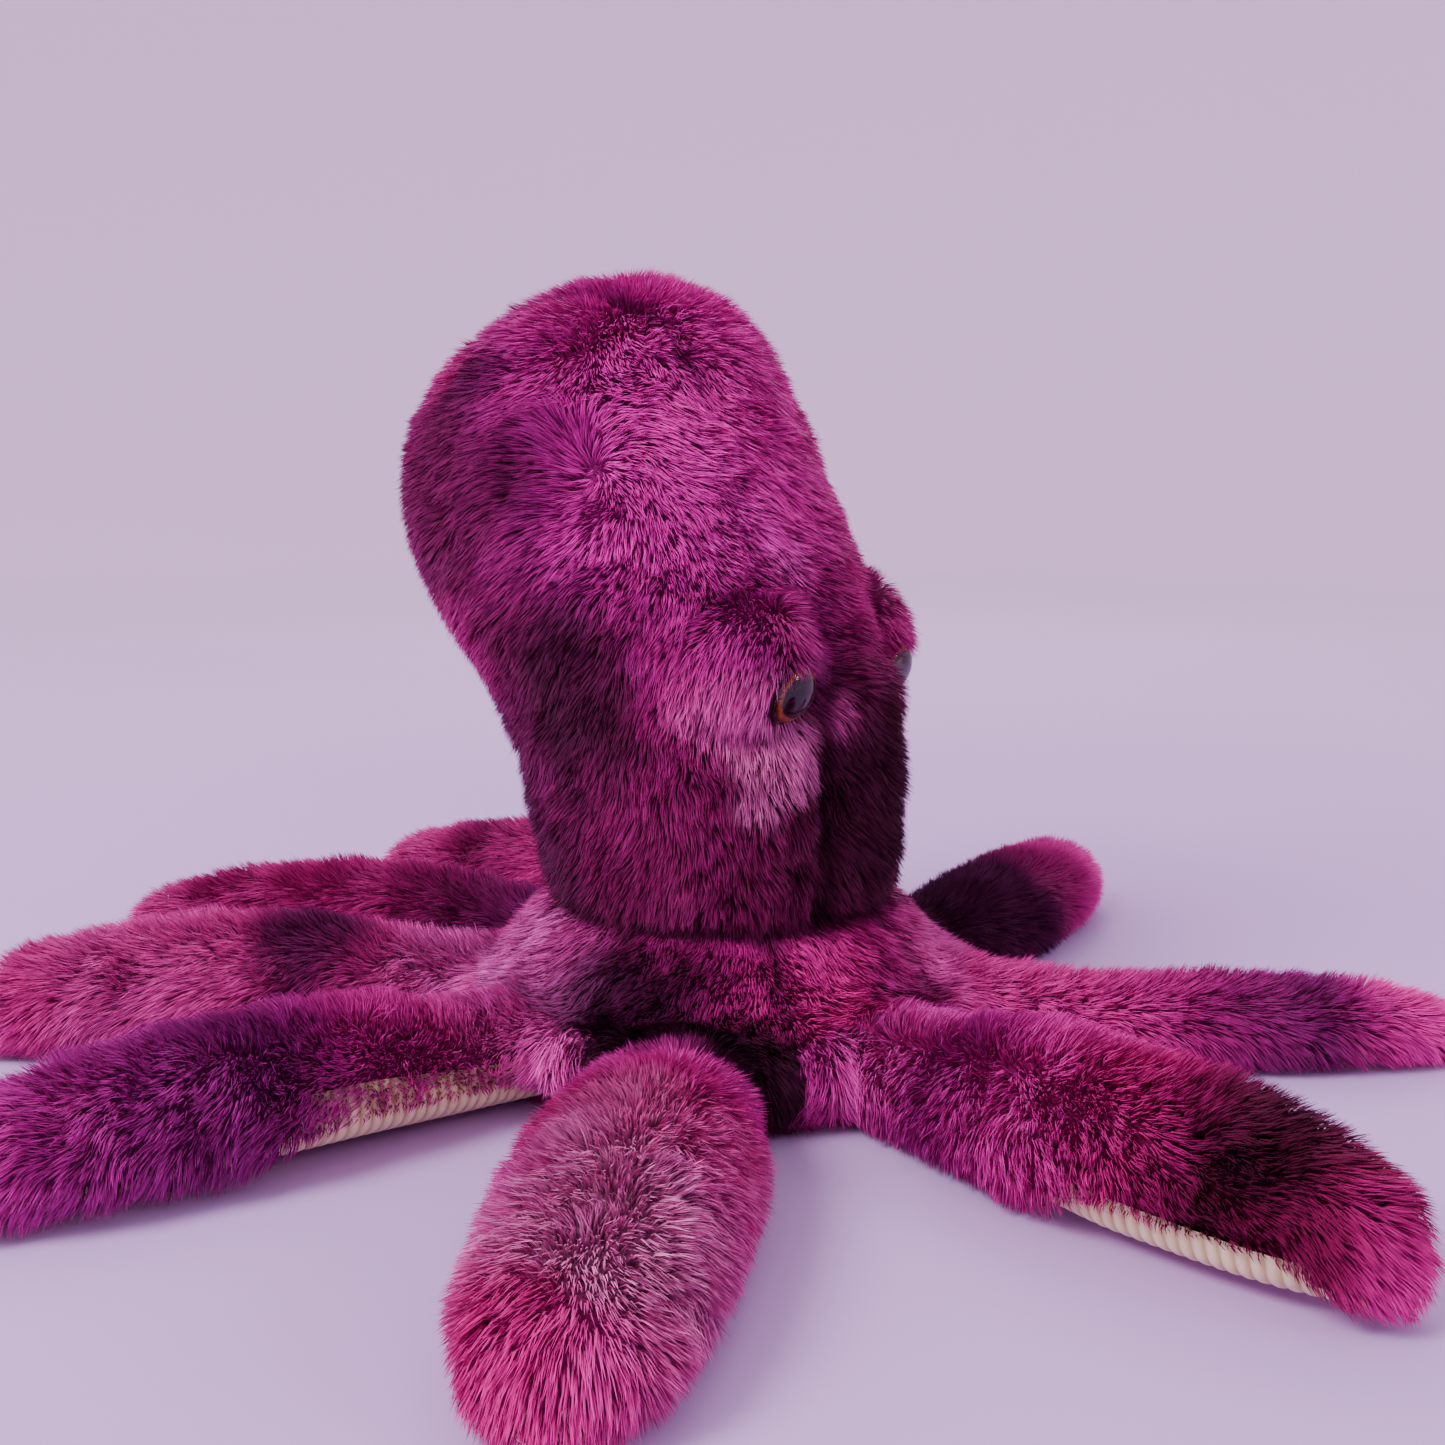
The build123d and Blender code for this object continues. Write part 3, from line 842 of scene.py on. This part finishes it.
def dyed_pile(name, ground, bands=None, blotches=()):
    """Faux fur, tie-dyed: soft-edged blotches of dye, dark roots and lighter tips painted as shade and
    light, and painted shade in the sewn seams.
    """
    material, tree, shader = new_material(name)
    root = attribute(tree, "root", "Vector")
    tip, fold, shade = (attribute(tree, fact) for fact in ("tip", "fold", "shade"))
    # dye bleeds: the blotches' edges wander by about 10 mm
    bleed = add_node(tree, "TexNoise", {"Vector": root, "Scale": 30.0, "Detail": 3.0}).outputs["Color"]
    centred = add_node(tree, "VectorMath", {0: bleed, 1: (0.5, 0.5, 0.5)}, operation="SUBTRACT").outputs[0]
    drift = scaled(tree, centred, 0.045)
    place = add_node(tree, "VectorMath", {0: root, 1: drift}, operation="ADD").outputs[0]
    patchy = add_node(tree, "TexNoise", {"Vector": root, "Scale": 26.0, "Detail": 2.5}).outputs["Fac"]
    if bands:
        swing = add_node(tree, "Math", {0: patchy, 1: 0.26, 2: -0.13}, operation="MULTIPLY_ADD").outputs[0]
        placed = add_node(tree, "Math", {0: attribute(tree, "along"), 1: swing}, operation="ADD").outputs[0]
        ramp = add_node(tree, "ValToRGB", {"Fac": placed})
        set_stops(ramp, bands, dye)
    else:
        ramp = add_node(tree, "ValToRGB", {"Fac": patchy})
        set_stops(ramp, ground, dye)
    colour = ramp.outputs["Color"]
    for centre, radius, blotch, strength in blotches:
        ends = {0: place, 1: tuple(centre)}
        gap = add_node(tree, "VectorMath", ends, operation="DISTANCE").outputs["Value"]
        reach = {"Value": gap, 1: radius * 1.25, 2: radius * 0.45, 3: 0.0, 4: strength}
        inside = add_node(tree, "MapRange", reach, interpolation_type="SMOOTHSTEP").outputs["Result"]
        colour = mixed_colour(tree, inside, colour, dye(blotch))
    # each lock took the dye a little differently, and light catches the tips and not the roots
    fibre = add_node(tree, "MapRange", {"Value": shade, 3: 0.87, 4: 1.15}).outputs["Result"]
    # painted shade: the pile darkens to 0.42 of its colour in the sewn seams, where the cloth is pulled in
    seam_shade_range = {"Value": fold, 1: 0.001, 2: 0.006, 3: 1.0, 4: 0.42}
    painted_seam_shade = add_node(tree, "MapRange", seam_shade_range).outputs["Result"]
    lock_tone_and_seam_shade = add_node(tree, "Math", {0: fibre, 1: painted_seam_shade}, operation="MULTIPLY").outputs[0]
    depth = add_node(tree, "ValToRGB", {"Fac": tip})
    set_stops(depth, [(0.0, "#8c8488"), (0.5, "#e4e0e2"), (1.0, "#ffffff")])
    shaded = tinted(tree, colour, scaled(tree, depth.outputs["Color"], lock_tone_and_seam_shade))
    paler = add_node(tree, "Math", {0: tip, 1: 0.04}, operation="MULTIPLY").outputs[0]
    tree.links.new(mixed_colour(tree, paler, shaded, linear("#f48ad0")), shader.inputs["Base Color"])
    shader.inputs["Roughness"].default_value = 0.55
    shader.inputs["Specular IOR Level"].default_value = 0.14
    shader.inputs["Specular Tint"].default_value = linear("#f0a0e0")
    shader.inputs["IOR"].default_value = 1.5
    return material


def woven_corduroy():
    """Cotton corduroy, brushed: cream crests, furrows darker with painted shade, and a fine weave."""
    material, tree, shader = new_material("brushed cotton corduroy")
    rib = attribute(tree, "rib")
    root = attribute(tree, "root", "Vector")
    # threads about 0.45 mm apart, and lint at about 6 mm
    weave = add_node(tree, "TexNoise", {"Vector": root, "Scale": 2200.0, "Detail": 2.0}).outputs["Fac"]
    lint = add_node(tree, "TexNoise", {"Vector": root, "Scale": 160.0, "Detail": 3.0}).outputs["Fac"]
    # painted shade: the furrows between the ribs are darker than the crests
    rib_shade = add_node(tree, "ValToRGB", {"Fac": rib})
    set_stops(rib_shade, [(0.0, "#98825a"), (0.45, "#cfbb86"), (1.0, "#eadcae")])
    mottle = add_node(tree, "MapRange", {"Value": lint, 3: 0.86, 4: 1.1}).outputs["Result"]
    tree.links.new(scaled(tree, rib_shade.outputs["Color"], mottle), shader.inputs["Base Color"])
    bump = add_node(tree, "Bump", {"Height": weave, "Strength": 0.5, "Distance": 0.0003}).outputs[0]
    tree.links.new(bump, shader.inputs["Normal"])
    shader.inputs["Roughness"].default_value = 0.85
    shader.inputs["Sheen Weight"].default_value = 0.35
    shader.inputs["Sheen Roughness"].default_value = 0.4
    return material


def iris_glass(name):
    """Printed iris under clear plastic: amber fibres that darken to the rim."""
    material, tree, shader = new_material(name)
    ring = attribute(tree, "ring")
    rays = {"Vector": attribute(tree, "turn", "Vector"), "Scale": 9.0, "Detail": 3.0, "Roughness": 0.6}
    fibres = add_node(tree, "TexNoise", rays).outputs["Fac"]
    warm = add_node(tree, "ValToRGB", {"Fac": fibres})
    set_stops(warm, [(0.3, "#5a2408"), (0.5, "#a85a14"), (0.72, "#e0a03c")])
    rim = add_node(tree, "ValToRGB", {"Fac": ring})
    inner = [(0.0, "#3a1606"), (0.5, "#7a4a20")]
    set_stops(rim, inner + [(0.72, "#ffffff"), (0.9, "#a06030"), (1.0, "#120602")])
    colour = tinted(tree, warm.outputs["Color"], rim.outputs["Color"])
    tree.links.new(colour, shader.inputs["Base Color"])
    shader.inputs["Roughness"].default_value = 0.25
    shader.inputs["IOR"].default_value = 1.49
    return material


def moulded_black(name, roughness):
    """Black moulded plastic with a faint flow texture."""
    material, tree, shader = new_material(name)
    place = add_node(tree, "TexCoord").outputs["Object"]
    flow_marks = add_node(tree, "TexNoise", {"Vector": place, "Scale": 700.0, "Detail": 2.0}).outputs["Fac"]
    tone = add_node(tree, "ValToRGB", {"Fac": flow_marks})
    set_stops(tone, [(0.3, "#030303"), (0.7, "#0d0a0b")])
    tree.links.new(tone.outputs["Color"], shader.inputs["Base Color"])
    shader.inputs["Roughness"].default_value = roughness
    shader.inputs["IOR"].default_value = 1.5
    return material


def clear_acrylic():
    """The polished dome of a safety eye: clear, with a sharp glint and the faintest haze."""
    material, tree, shader = new_material("polished clear acrylic")
    place = add_node(tree, "TexCoord").outputs["Object"]
    haze = add_node(tree, "TexNoise", {"Vector": place, "Scale": 900.0, "Detail": 2.0}).outputs["Fac"]
    gloss = add_node(tree, "MapRange", {"Value": haze, 3: 0.01, 4: 0.05}).outputs["Result"]
    tree.links.new(gloss, shader.inputs["Roughness"])
    shader.inputs["Base Color"].default_value = linear("#fffaf2")
    shader.inputs["IOR"].default_value = 1.49
    shader.inputs["Transmission Weight"].default_value = 1.0
    return material


# Eyes

def eye_frame(name):
    centre, out, radius = eyes[name]
    across = unit(np.cross(UP, out))
    return centre, out, radius, across, np.cross(out, across)


def turned_disc(piece_name, eye, profile, rings_across, material):
    """A round piece about the eye's axis; its profile lists shares of the radius and heights in mm."""
    centre, out, radius, across, up = eye_frame(eye)
    at, given = np.linspace(0, 1, rings_across), np.linspace(0, 1, len(profile))
    radii, heights = (np.interp(at, given, column) for column in zip(*profile))
    angle = full_turn(72)
    spokes = across * np.cos(angle)[:, None] + up * np.sin(angle)[:, None]
    rings = centre + out * (heights * MM)[:, None, None] + (radii * radius)[:, None, None] * spokes
    points, faces = capped_tube(rings)
    piece = make_mesh(piece_name, points, faces)
    face_outwards(piece)
    ring = np.concatenate([np.repeat(radii / max(radii.max(), 1e-9), 72), [radii[0], radii[-1]]])
    turns = np.concatenate([np.tile(angle, rings_across), [0, 0]])
    add_attribute(piece, "ring", ring)
    rays = np.stack([np.cos(turns) * 2.2, np.sin(turns) * 2.2, ring * 0.35], -1)
    add_attribute(piece, "turn", rays, "FLOAT_VECTOR")
    piece.data.materials.append(material)
    return piece


def dome_profile(width, foot, height, steps=14):
    """Radius shares and heights of a domed lens, flat at the back."""
    sphere = (width**2 + height**2) / (2 * height)
    reach = math.asin(width / sphere)
    turns = np.linspace(0, reach, steps)
    crown = [(sphere * math.sin(t) / width, foot + height - sphere + sphere * math.cos(t)) for t in turns]
    return crown + [(1.0, foot), (0.5, foot), (0.001, foot)]


# The toy, piece by piece

def make_stage(look):
    """Pale floor that turns up far away, soft light from a window on the left, and the camera."""
    reach = np.concatenate([np.linspace(0.001, 3.0, 30), np.linspace(3.1, 7.5, 50)])
    rise = 5.0 * smoothstep(2.5, 7.5, reach) ** 1.5
    points = turned_rings(reach, rise - 0.4 * MM, 120).reshape(-1, 3)
    floor = make_mesh("studio_floor", points, [grid_faces(80, 120, closed=True)])
    material, tree, shader = new_material("painted studio floor")
    # paler far off, where the lamps don't reach
    place = add_node(tree, "TexCoord").outputs["Object"]
    reach = add_node(tree, "VectorMath", {0: place}, operation="LENGTH").outputs["Value"]
    mottle = add_node(tree, "TexNoise", {"Vector": place, "Scale": 3.0, "Detail": 3.0}).outputs["Fac"]
    swing = add_node(tree, "Math", {0: mottle, 1: 0.3, 2: reach}, operation="MULTIPLY_ADD").outputs[0]
    share = add_node(tree, "MapRange", {"Value": swing, 1: 0.6, 2: 3.2}).outputs["Result"]
    paint = add_node(tree, "ValToRGB", {"Fac": share})
    set_stops(paint, [(0.0, "#c59cd9"), (1.0, "#f6d3fd")])
    tree.links.new(paint.outputs["Color"], shader.inputs["Base Color"])
    shader.inputs["Roughness"].default_value = 0.9
    floor.data.materials.append(material)

    world = bpy.data.worlds.new("studio")
    bpy.context.scene.world = world
    world.use_nodes = True
    world.node_tree.nodes["Background"].inputs["Color"].default_value = linear("#efe9ee")
    world.node_tree.nodes["Background"].inputs["Strength"].default_value = 1.25

    side = np.array([look[1], -look[0], 0.0])
    for name, right, ahead, height, size, power in (
        ("window", -1.2, -0.9, 1.5, 0.9, 46.0),
        ("fill", 1.6, -0.9, 1.0, 0.5, 5.0),
        ("rim", 0.3, 1.5, 1.6, 1.0, 12.0),
    ):
        lamp = bpy.data.lights.new(name, "AREA")
        lamp.shape = "DISK"
        lamp.size = size
        lamp.energy = power
        holder = bpy.data.objects.new(name, lamp)
        place = side * right + look * ahead + UP * height
        holder.location = place
        aim = unit(np.array([0, 0, 0.15]) - place)
        holder.rotation_euler = Vector(aim).to_track_quat("-Z", "Y").to_euler()
        bpy.context.scene.collection.objects.link(holder)

    camera = bpy.data.cameras.new("camera")
    camera.sensor_width = 36.0
    camera.lens = CAMERA_LENS
    holder = bpy.data.objects.new("camera", camera)
    holder.location = CAMERA_PLACE
    down = math.radians(CAMERA_DOWN)
    aim = Vector((look[0] * math.cos(down), look[1] * math.cos(down), -math.sin(down)))
    holder.rotation_euler = aim.to_track_quat("-Z", "Y").to_euler()
    bpy.context.scene.collection.objects.link(holder)
    bpy.context.scene.camera = holder


PLUM, VIOLET, MAGENTA = "#12000f", "#3c0a4c", "#7c0862"
ORCHID, PINK, PALE = "#c03a9c", "#e06cac", "#ff98b0"

# Dye along each arm, root to tip
ARM_BANDS = {
    1: [
        (0.0, "#d04f98"), (0.3, "#b8348a"), (0.5, "#6a1060"),
        (0.72, "#4c0a50"), (0.88, "#b03088"), (1.0, "#c84494"),
    ],
    2: [(0.0, PLUM), (0.45, "#2c0230"), (0.62, "#6c0c58"), (0.8, "#b03c8a"), (1.0, PINK)],
    3: [
        (0.0, "#a83c84"), (0.35, MAGENTA), (0.6, "#a0347c"),
        (0.75, "#5a0a4a"), (0.86, "#a43c80"), (1.0, "#b04c8c"),
    ],
    4: [(0.0, VIOLET), (0.3, "#5c0c50"), (0.6, "#8c1c6c"), (0.8, "#7a1460"), (1.0, "#c04c90")],
    5: [
        (0.0, "#c860a0"), (0.22, "#b84c90"), (0.36, "#5c0c50"), (0.5, "#b44c8c"),
        (0.75, "#c05c98"), (0.9, "#9c2c78"), (1.0, "#b04a8c"),
    ],
    6: [
        (0.0, PINK), (0.15, "#c44c98"), (0.33, "#9c2c84"),
        (0.55, "#64186c"), (0.72, "#7c2480"), (1.0, "#8c2880"),
    ],
    7: [
        (0.0, PLUM), (0.14, "#1c0418"), (0.22, "#b8459a"), (0.34, "#b03890"), (0.48, "#8c146c"),
        (0.62, "#cf6aa6"), (0.8, PALE), (0.92, "#c04890"), (1.0, "#a81c7c"),
    ],
    8: [
        (0.0, "#b03a94"), (0.25, "#7c1c78"), (0.45, "#b03890"), (0.62, "#8c1468"),
        (0.78, "#30021e"), (0.9, "#5c0440"), (1.0, "#b01c84"),
    ],
}


def arm_spot(number, share, side, height_share):
    """A place on an arm's upper side, for a blotch of dye."""
    arm = arms[number]
    share = np.array([share])
    centre, _, across = arm.place(share)
    half_width, height = arm.sizes(share)
    flat = np.append(centre[0], 0.0) + across[0] * half_width[0] * side
    return flat + UP * height[0] * height_share


# Blotches on the arms: arm, share of its length, side and share of its height, then radius, dye, strength
ARM_BLOTCHES = {
    5: [((5, 0.38, 0.2, 0.8), 22 * MM, "#3c0640", 0.8), ((5, 0.12, 0.3, 0.9), 30 * MM, "#d878b0", 0.8)],
    6: [((6, 0.05, 0.2, 0.9), 34 * MM, "#d060a4", 0.9), ((6, 0.5, -0.9, 0.3), 26 * MM, "#c04898", 0.7)],
    7: [
        ((7, 0.56, 0.0, 0.9), 30 * MM, "#ff98ac", 0.85),
        ((7, 0.76, 0.15, 0.9), 36 * MM, "#ffa4b4", 0.95),
        ((7, 0.5, 0.9, 0.5), 34 * MM, "#f076a4", 0.85),
        ((7, 0.97, -0.5, 0.7), 24 * MM, "#9c1470", 0.95),
    ],
    8: [((8, 0.1, -0.2, 0.9), 34 * MM, "#c858a4", 0.8), ((8, 0.8, 0.0, 0.8), 26 * MM, "#240018", 0.8)],
}

# Blotches on the head and skirt: place and radius in millimetres, dye, strength
HEAD_BLOTCHES = [
    # near black round the neck, under the face and low on the left of the head: dark dye deepened with
    # painted shade where the mantle hangs over
    (0, 10, 95, 95, "#200018", 0.92),
    (-60, -50, 100, 55, "#4c0840", 0.7),
    (0, -70, 115, 60, "#18000f", 0.92),
    (0, 70, 130, 85, "#24042c", 0.85),
    (-62, -20, 250, 85, "#b02c98", 0.95),
    (-20, -30, 280, 70, ORCHID, 0.9),
    (-30, 40, 315, 50, "#a82c90", 0.9),
    (50, -10, 260, 70, "#a02888", 0.85),
    (-52, -48, 225, 35, "#c84cac", 0.9),
    (-30, -62, 205, 22, "#dc74bc", 0.9),
    (-80, 75, 225, 55, "#3c0838", 0.9),
    (0, 125, 210, 70, "#3c0840", 0.85),
    (-90, 22, 160, 45, "#1c0018", 0.92),
    (-20, -75, 185, 22, "#5c0850", 0.8),
    (20, -70, 200, 40, "#7c1468", 0.8),
]
# and beside both eyes
EYE_BLOTCHES = [
    (46, -68, 182, 24, "#9c3080", 0.9),
    (68, -46, 150, 24, "#f474a4", 0.9),
    (56, -54, 138, 20, "#ff90ac", 0.95),
    (34, -74, 158, 14, "#f474a4", 0.9),
]
HEAD_BLOTCHES += [(side * x, *rest) for side in (-1, 1) for x, *rest in EYE_BLOTCHES]
SKIRT_BLOTCHES = [
    (-60, -80, 52, 42, "#b02c80", 0.9),
    (-66, -84, 60, 20, "#cc5ca0", 0.8),
    # near black low on the left of the skirt: dark dye deepened with painted shade
    (-100, -10, 40, 48, "#1c0020", 0.95),
    (-86, -64, 30, 26, "#200018", 0.9),
    (-84, 62, 45, 50, "#dc84b8", 0.9),
    (36, -90, 45, 40, "#d068a4", 0.85),
    (-10, -104, 35, 30, "#54084c", 0.8),
    (60, 60, 50, 60, "#84106c", 0.7),
]


def in_metres(rows):
    return [((x * MM, y * MM, z * MM), radius * MM, *rest) for x, y, z, radius, *rest in rows]


body = stuffed_body()
puff(body)
points, triangles, normals = skin_arrays(body)
bpy.data.objects.remove(body)
depth = seam_depth(points)
_, number, share = part_codes(points)
skin = {
    "points": points - normals * depth[:, None],
    "triangles": triangles,
    "normals": normals,
    "number": number,
    "share": share,
    "depth": depth,
    "face_code": part_codes(points[triangles].mean(1))[0],
}

violet_mix = [(0.3, "#3c0640"), (0.45, "#6c0c5c"), (0.55, "#84106c"), (0.7, "#a02484")]
head_pile = dyed_pile("tie-dyed faux fur, head", violet_mix, blotches=in_metres(HEAD_BLOTCHES))
skirt_pile = dyed_pile("tie-dyed faux fur, skirt", violet_mix, blotches=in_metres(SKIRT_BLOTCHES))
corduroy = woven_corduroy()

for code, name, replaced in (
    (1, "head_left_fur", ("head_left_panel", "head_stuffing", "eye_mounds")),
    (2, "head_strip_fur", ("head_gusset", "head_stuffing")),
    (3, "head_right_fur", ("head_right_panel", "head_stuffing", "eye_mounds")),
):
    head = furred_piece(name, skin, code, head_pile)
    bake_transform(head)
    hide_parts(*replaced)

skirt = furred_piece("skirt_fur", skin, 0, skirt_pile)
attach(skirt, "base")
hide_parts("skirt_panels", "body_stuffing")

panel = belly(corduroy)
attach(panel, "base")
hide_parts("belly_panel")

for n, arm in arms.items():
    spots = [(arm_spot(*where), *blotch) for where, *blotch in ARM_BLOTCHES.get(n, [])]
    pile = dyed_pile(f"tie-dyed faux fur, arm {n}", None, bands=ARM_BANDS[n], blotches=spots)
    root_names = (f"arm_{n}_root", f"arm_{n}_tip")
    (root_at, far), _, _ = arm.place(np.array([0.0, 0.24]))
    (bend_in, bend_out), _, _ = arm.place(np.array([BEND_SHARE - 0.13, BEND_SHARE + 0.13]))
    for outer, first, last in ((False, -0.08, SPLIT_SHARE), (True, SPLIT_SHARE, 0.995)):
        label = "outer" if outer else "root"
        fur = furred_piece(f"arm_{n}_{label}_fur", skin, 10 * n + outer, pile)
        ribs = ribbed_strip(arm, first, last, f"arm_{n}_{label}_ribs", corduroy)
        for piece in (fur, ribs):
            if outer:
                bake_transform(piece)
            else:
                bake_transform(piece)
        segment = root_names[outer]
        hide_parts(f"{segment}_cover", f"{segment}_stuffing")
        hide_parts(f"{segment}_underside")

amber = iris_glass("printed amber iris")
black = moulded_black("gloss black plastic", 0.12)
fitting = moulded_black("moulded black plastic", 0.4)
acrylic = clear_acrylic()
iris_ring = [(0.45, 0.5), (0.7, 0.45), (0.98, 0.4), (0.98, -0.2), (0.45, -0.2)]
pupil_button = [(0.001, 0.75), (0.4, 0.72), (0.6, 0.62), (0.62, 0.1), (0.001, 0.1)]
for eye in eyes:
    for part, profile, rings, plastic, replaced, slot in (
        ("iris", iris_ring, 24, amber, "eye_discs", "eye_disc"),
        ("pupil", pupil_button, 24, black, "eye_discs", "eye_disc"),
        ("lens", dome_profile(12, 0.2, 6.8), 60, acrylic, "eye_lenses", "eye_lens"),
    ):
        piece = turned_disc(f"{part}_{eye}", eye, profile, rings, plastic)
        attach(piece, "head")
        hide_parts(replaced)
for node in ("eye_stems", "eye_washers"):
    fitted = frame["nodes"][node]
    for material_slot in fitted.material_slots:
        material_slot.material = fitting

heading = math.radians(CAMERA_HEADING)
make_stage(np.array([math.cos(heading), math.sin(heading), 0.0]))
